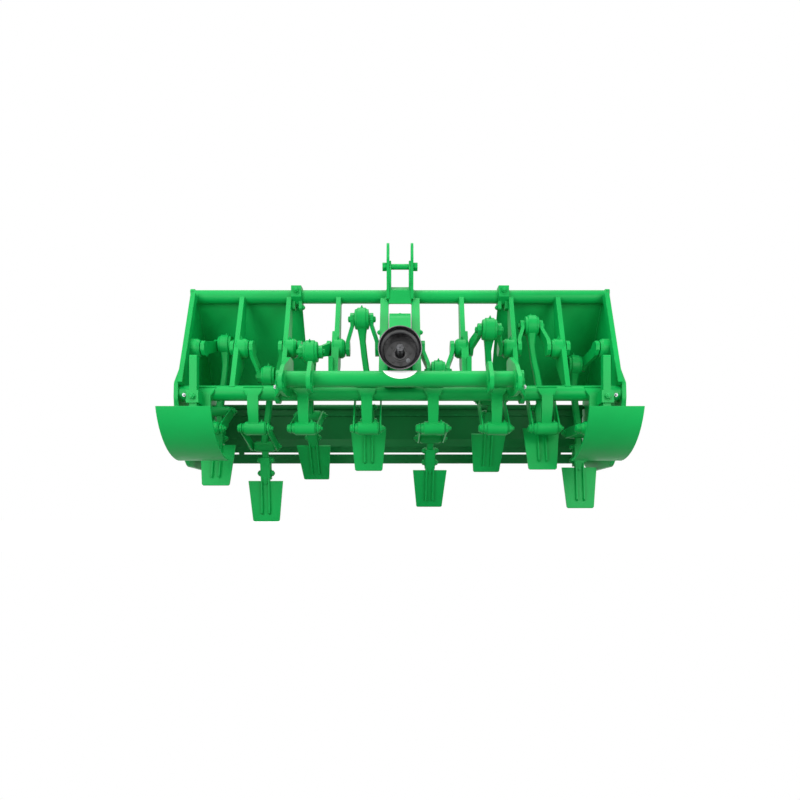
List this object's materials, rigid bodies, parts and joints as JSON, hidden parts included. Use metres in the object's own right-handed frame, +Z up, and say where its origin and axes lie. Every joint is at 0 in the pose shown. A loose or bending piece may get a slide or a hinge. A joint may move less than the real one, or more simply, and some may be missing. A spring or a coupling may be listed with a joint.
{
  "type": "spading machine",
  "caption": "Tractor-mounted spading machine: crank-driven spade arms with tapered blades under a tube frame with side walls, hood sheets and depth skids.",
  "frame": {"origin": "midpoint between the two lower-link pin holes, on the machine's middle plane", "axes": "+X to the right seen from the front, +Y rearwards away from the tractor, +Z up"},
  "size_m": [1.8906, 0.7781, 1.2076],
  "materials": {
    "green_paint": "semi-gloss",
    "black_plastic": "gloss",
    "bare_steel": "machined"
  },
  "bodies": {
    "frame": {"top_tube": "green_paint", "lower_tube": "green_paint", "front_tube": "green_paint", "hitch_plate_left": "green_paint", "hitch_plate_right": "green_paint", "tube_clamp_left": "green_paint", "tube_clamp_right": "green_paint", "hitch_tie_left": "green_paint", "hitch_tie_right": "green_paint", "top_link_bracket": "green_paint", "top_link_pin": "green_paint", "centre_plate_left": "green_paint", "centre_plate_right": "green_paint", "gearbox": "green_paint", "pto_guard": "black_plastic", "bearing_plate_1": "green_paint", "bearing_plate_2": "green_paint", "bearing_plate_3": "green_paint", "bearing_plate_4": "green_paint", "bearing_plate_5": "green_paint", "bearing_plate_6": "green_paint", "side_wall_left": "green_paint", "side_wall_right": "green_paint", "cheek_plate_left": "green_paint", "cheek_plate_right": "green_paint", "hood_left": "green_paint", "hood_right": "green_paint"},
    "crank": {"crankshaft": "green_paint"},
    "input_shaft": {"pto_shaft": "bare_steel"},
    "gate": {"rear_gate": "green_paint", "gate_bar": "green_paint"},
    "skid_left": {"skid_left": "green_paint"},
    "skid_right": {"skid_right": "green_paint"},
    "spade_1": {"spade_arm_1": "green_paint", "blade_1": "green_paint"},
    "rocker_1": {"rocker_1": "green_paint"},
    "spade_2": {"spade_arm_2": "green_paint", "blade_2": "green_paint"},
    "rocker_2": {"rocker_2": "green_paint"},
    "spade_3": {"spade_arm_3": "green_paint", "blade_3": "green_paint"},
    "rocker_3": {"rocker_3": "green_paint"},
    "spade_4": {"spade_arm_4": "green_paint", "blade_4": "green_paint"},
    "rocker_4": {"rocker_4": "green_paint"},
    "spade_5": {"spade_arm_5": "green_paint", "blade_5": "green_paint"},
    "rocker_5": {"rocker_5": "green_paint"},
    "spade_6": {"spade_arm_6": "green_paint", "blade_6": "green_paint"},
    "rocker_6": {"rocker_6": "green_paint"},
    "spade_7": {"spade_arm_7": "green_paint", "blade_7": "green_paint"},
    "rocker_7": {"rocker_7": "green_paint"},
    "spade_8": {"spade_arm_8": "green_paint", "blade_8": "green_paint"},
    "rocker_8": {"rocker_8": "green_paint"}
  },
  "joints": [
    {"name": "crank_turn", "type": "hinge", "parent": "frame", "child": "crank", "pos_m": [0, 0.2745, 0.212], "axis": [1, 0, 0], "range_deg": [-15, 15]},
    {"name": "spade_1_pin", "type": "hinge", "parent": "crank", "child": "spade_1", "pos_m": [-0.775, 0.38444, 0.25754], "axis": [1, 0, 0], "range_deg": [-18, 18]},
    {"name": "rocker_1_pivot", "type": "hinge", "parent": "frame", "child": "rocker_1", "pos_m": [-0.795, 0.19, -0.142], "axis": [1, 0, 0], "range_deg": [-12, 12]},
    {"name": "spade_2_pin", "type": "hinge", "parent": "crank", "child": "spade_2", "pos_m": [-0.57, 0.32004, 0.10206], "axis": [1, 0, 0], "range_deg": [-22, 22]},
    {"name": "rocker_2_pivot", "type": "hinge", "parent": "frame", "child": "rocker_2", "pos_m": [-0.601, 0.19, -0.142], "axis": [1, 0, 0], "range_deg": [-4, 4]},
    {"name": "spade_3_pin", "type": "hinge", "parent": "crank", "child": "spade_3", "pos_m": [-0.365, 0.16456, 0.16646], "axis": [1, 0, 0], "range_deg": [-16, 16]},
    {"name": "rocker_3_pivot", "type": "hinge", "parent": "frame", "child": "rocker_3", "pos_m": [-0.396, 0.19, -0.142], "axis": [1, 0, 0], "range_deg": [-10, 10]},
    {"name": "spade_4_pin", "type": "hinge", "parent": "crank", "child": "spade_4", "pos_m": [-0.16, 0.22896, 0.32194], "axis": [1, 0, 0], "range_deg": [-9, 9]},
    {"name": "rocker_4_pivot", "type": "hinge", "parent": "frame", "child": "rocker_4", "pos_m": [-0.136, 0.19, -0.142], "axis": [1, 0, 0], "range_deg": [-4, 4]},
    {"name": "spade_5_pin", "type": "hinge", "parent": "crank", "child": "spade_5", "pos_m": [0.16, 0.22896, 0.10206], "axis": [1, 0, 0], "range_deg": [-23, 23]},
    {"name": "rocker_5_pivot", "type": "hinge", "parent": "frame", "child": "rocker_5", "pos_m": [0.136, 0.19, -0.142], "axis": [1, 0, 0], "range_deg": [-10, 10]},
    {"name": "spade_6_pin", "type": "hinge", "parent": "crank", "child": "spade_6", "pos_m": [0.365, 0.16456, 0.25754], "axis": [1, 0, 0], "range_deg": [-11, 11]},
    {"name": "rocker_6_pivot", "type": "hinge", "parent": "frame", "child": "rocker_6", "pos_m": [0.396, 0.19, -0.142], "axis": [1, 0, 0], "range_deg": [-7, 7]},
    {"name": "spade_7_pin", "type": "hinge", "parent": "crank", "child": "spade_7", "pos_m": [0.57, 0.32004, 0.32194], "axis": [1, 0, 0], "range_deg": [-14, 14]},
    {"name": "rocker_7_pivot", "type": "hinge", "parent": "frame", "child": "rocker_7", "pos_m": [0.601, 0.19, -0.142], "axis": [1, 0, 0], "range_deg": [-8, 8]},
    {"name": "spade_8_pin", "type": "hinge", "parent": "crank", "child": "spade_8", "pos_m": [0.775, 0.38444, 0.16646], "axis": [1, 0, 0], "range_deg": [-19, 19]},
    {"name": "rocker_8_pivot", "type": "hinge", "parent": "frame", "child": "rocker_8", "pos_m": [0.795, 0.19, -0.142], "axis": [1, 0, 0], "range_deg": [-10, 10]},
    {"name": "pto_turn", "type": "hinge", "parent": "frame", "child": "input_shaft", "pos_m": [0, 0.112, 0.141], "axis": [0, 1, 0], "range_deg": [-50, 50]},
    {"name": "gate_hinge", "type": "hinge", "parent": "frame", "child": "gate", "pos_m": [0, 0.665, 0.034], "axis": [1, 0, 0], "range_deg": [0, 60]},
    {"name": "skid_left_height", "type": "slide", "parent": "frame", "child": "skid_left", "axis": [0, 0, 1], "range_m": [-0.08, 0.05]},
    {"name": "skid_right_height", "type": "slide", "parent": "frame", "child": "skid_right", "axis": [0, 0, 1], "range_m": [-0.08, 0.05]}
  ],
  "couplings": [
    {"joint": "spade_1_pin", "follows": "crank_turn", "ratio": -1.0726},
    {"joint": "rocker_1_pivot", "follows": "crank_turn", "ratio": 0.6755},
    {"joint": "spade_2_pin", "follows": "crank_turn", "ratio": -1.3384},
    {"joint": "rocker_2_pivot", "follows": "crank_turn", "ratio": 0.1369},
    {"joint": "spade_3_pin", "follows": "crank_turn", "ratio": -0.9798},
    {"joint": "rocker_3_pivot", "follows": "crank_turn", "ratio": -0.5818},
    {"joint": "spade_4_pin", "follows": "crank_turn", "ratio": -0.5202},
    {"joint": "rocker_4_pivot", "follows": "crank_turn", "ratio": -0.1918},
    {"joint": "spade_5_pin", "follows": "crank_turn", "ratio": -1.4438},
    {"joint": "rocker_5_pivot", "follows": "crank_turn", "ratio": -0.5818},
    {"joint": "spade_6_pin", "follows": "crank_turn", "ratio": -0.62},
    {"joint": "rocker_6_pivot", "follows": "crank_turn", "ratio": -0.3709},
    {"joint": "spade_7_pin", "follows": "crank_turn", "ratio": -0.8539},
    {"joint": "rocker_7_pivot", "follows": "crank_turn", "ratio": 0.4015},
    {"joint": "spade_8_pin", "follows": "crank_turn", "ratio": -1.1632},
    {"joint": "rocker_8_pivot", "follows": "crank_turn", "ratio": 0.5661},
    {"joint": "pto_turn", "follows": "crank_turn", "ratio": 3}
  ]
}
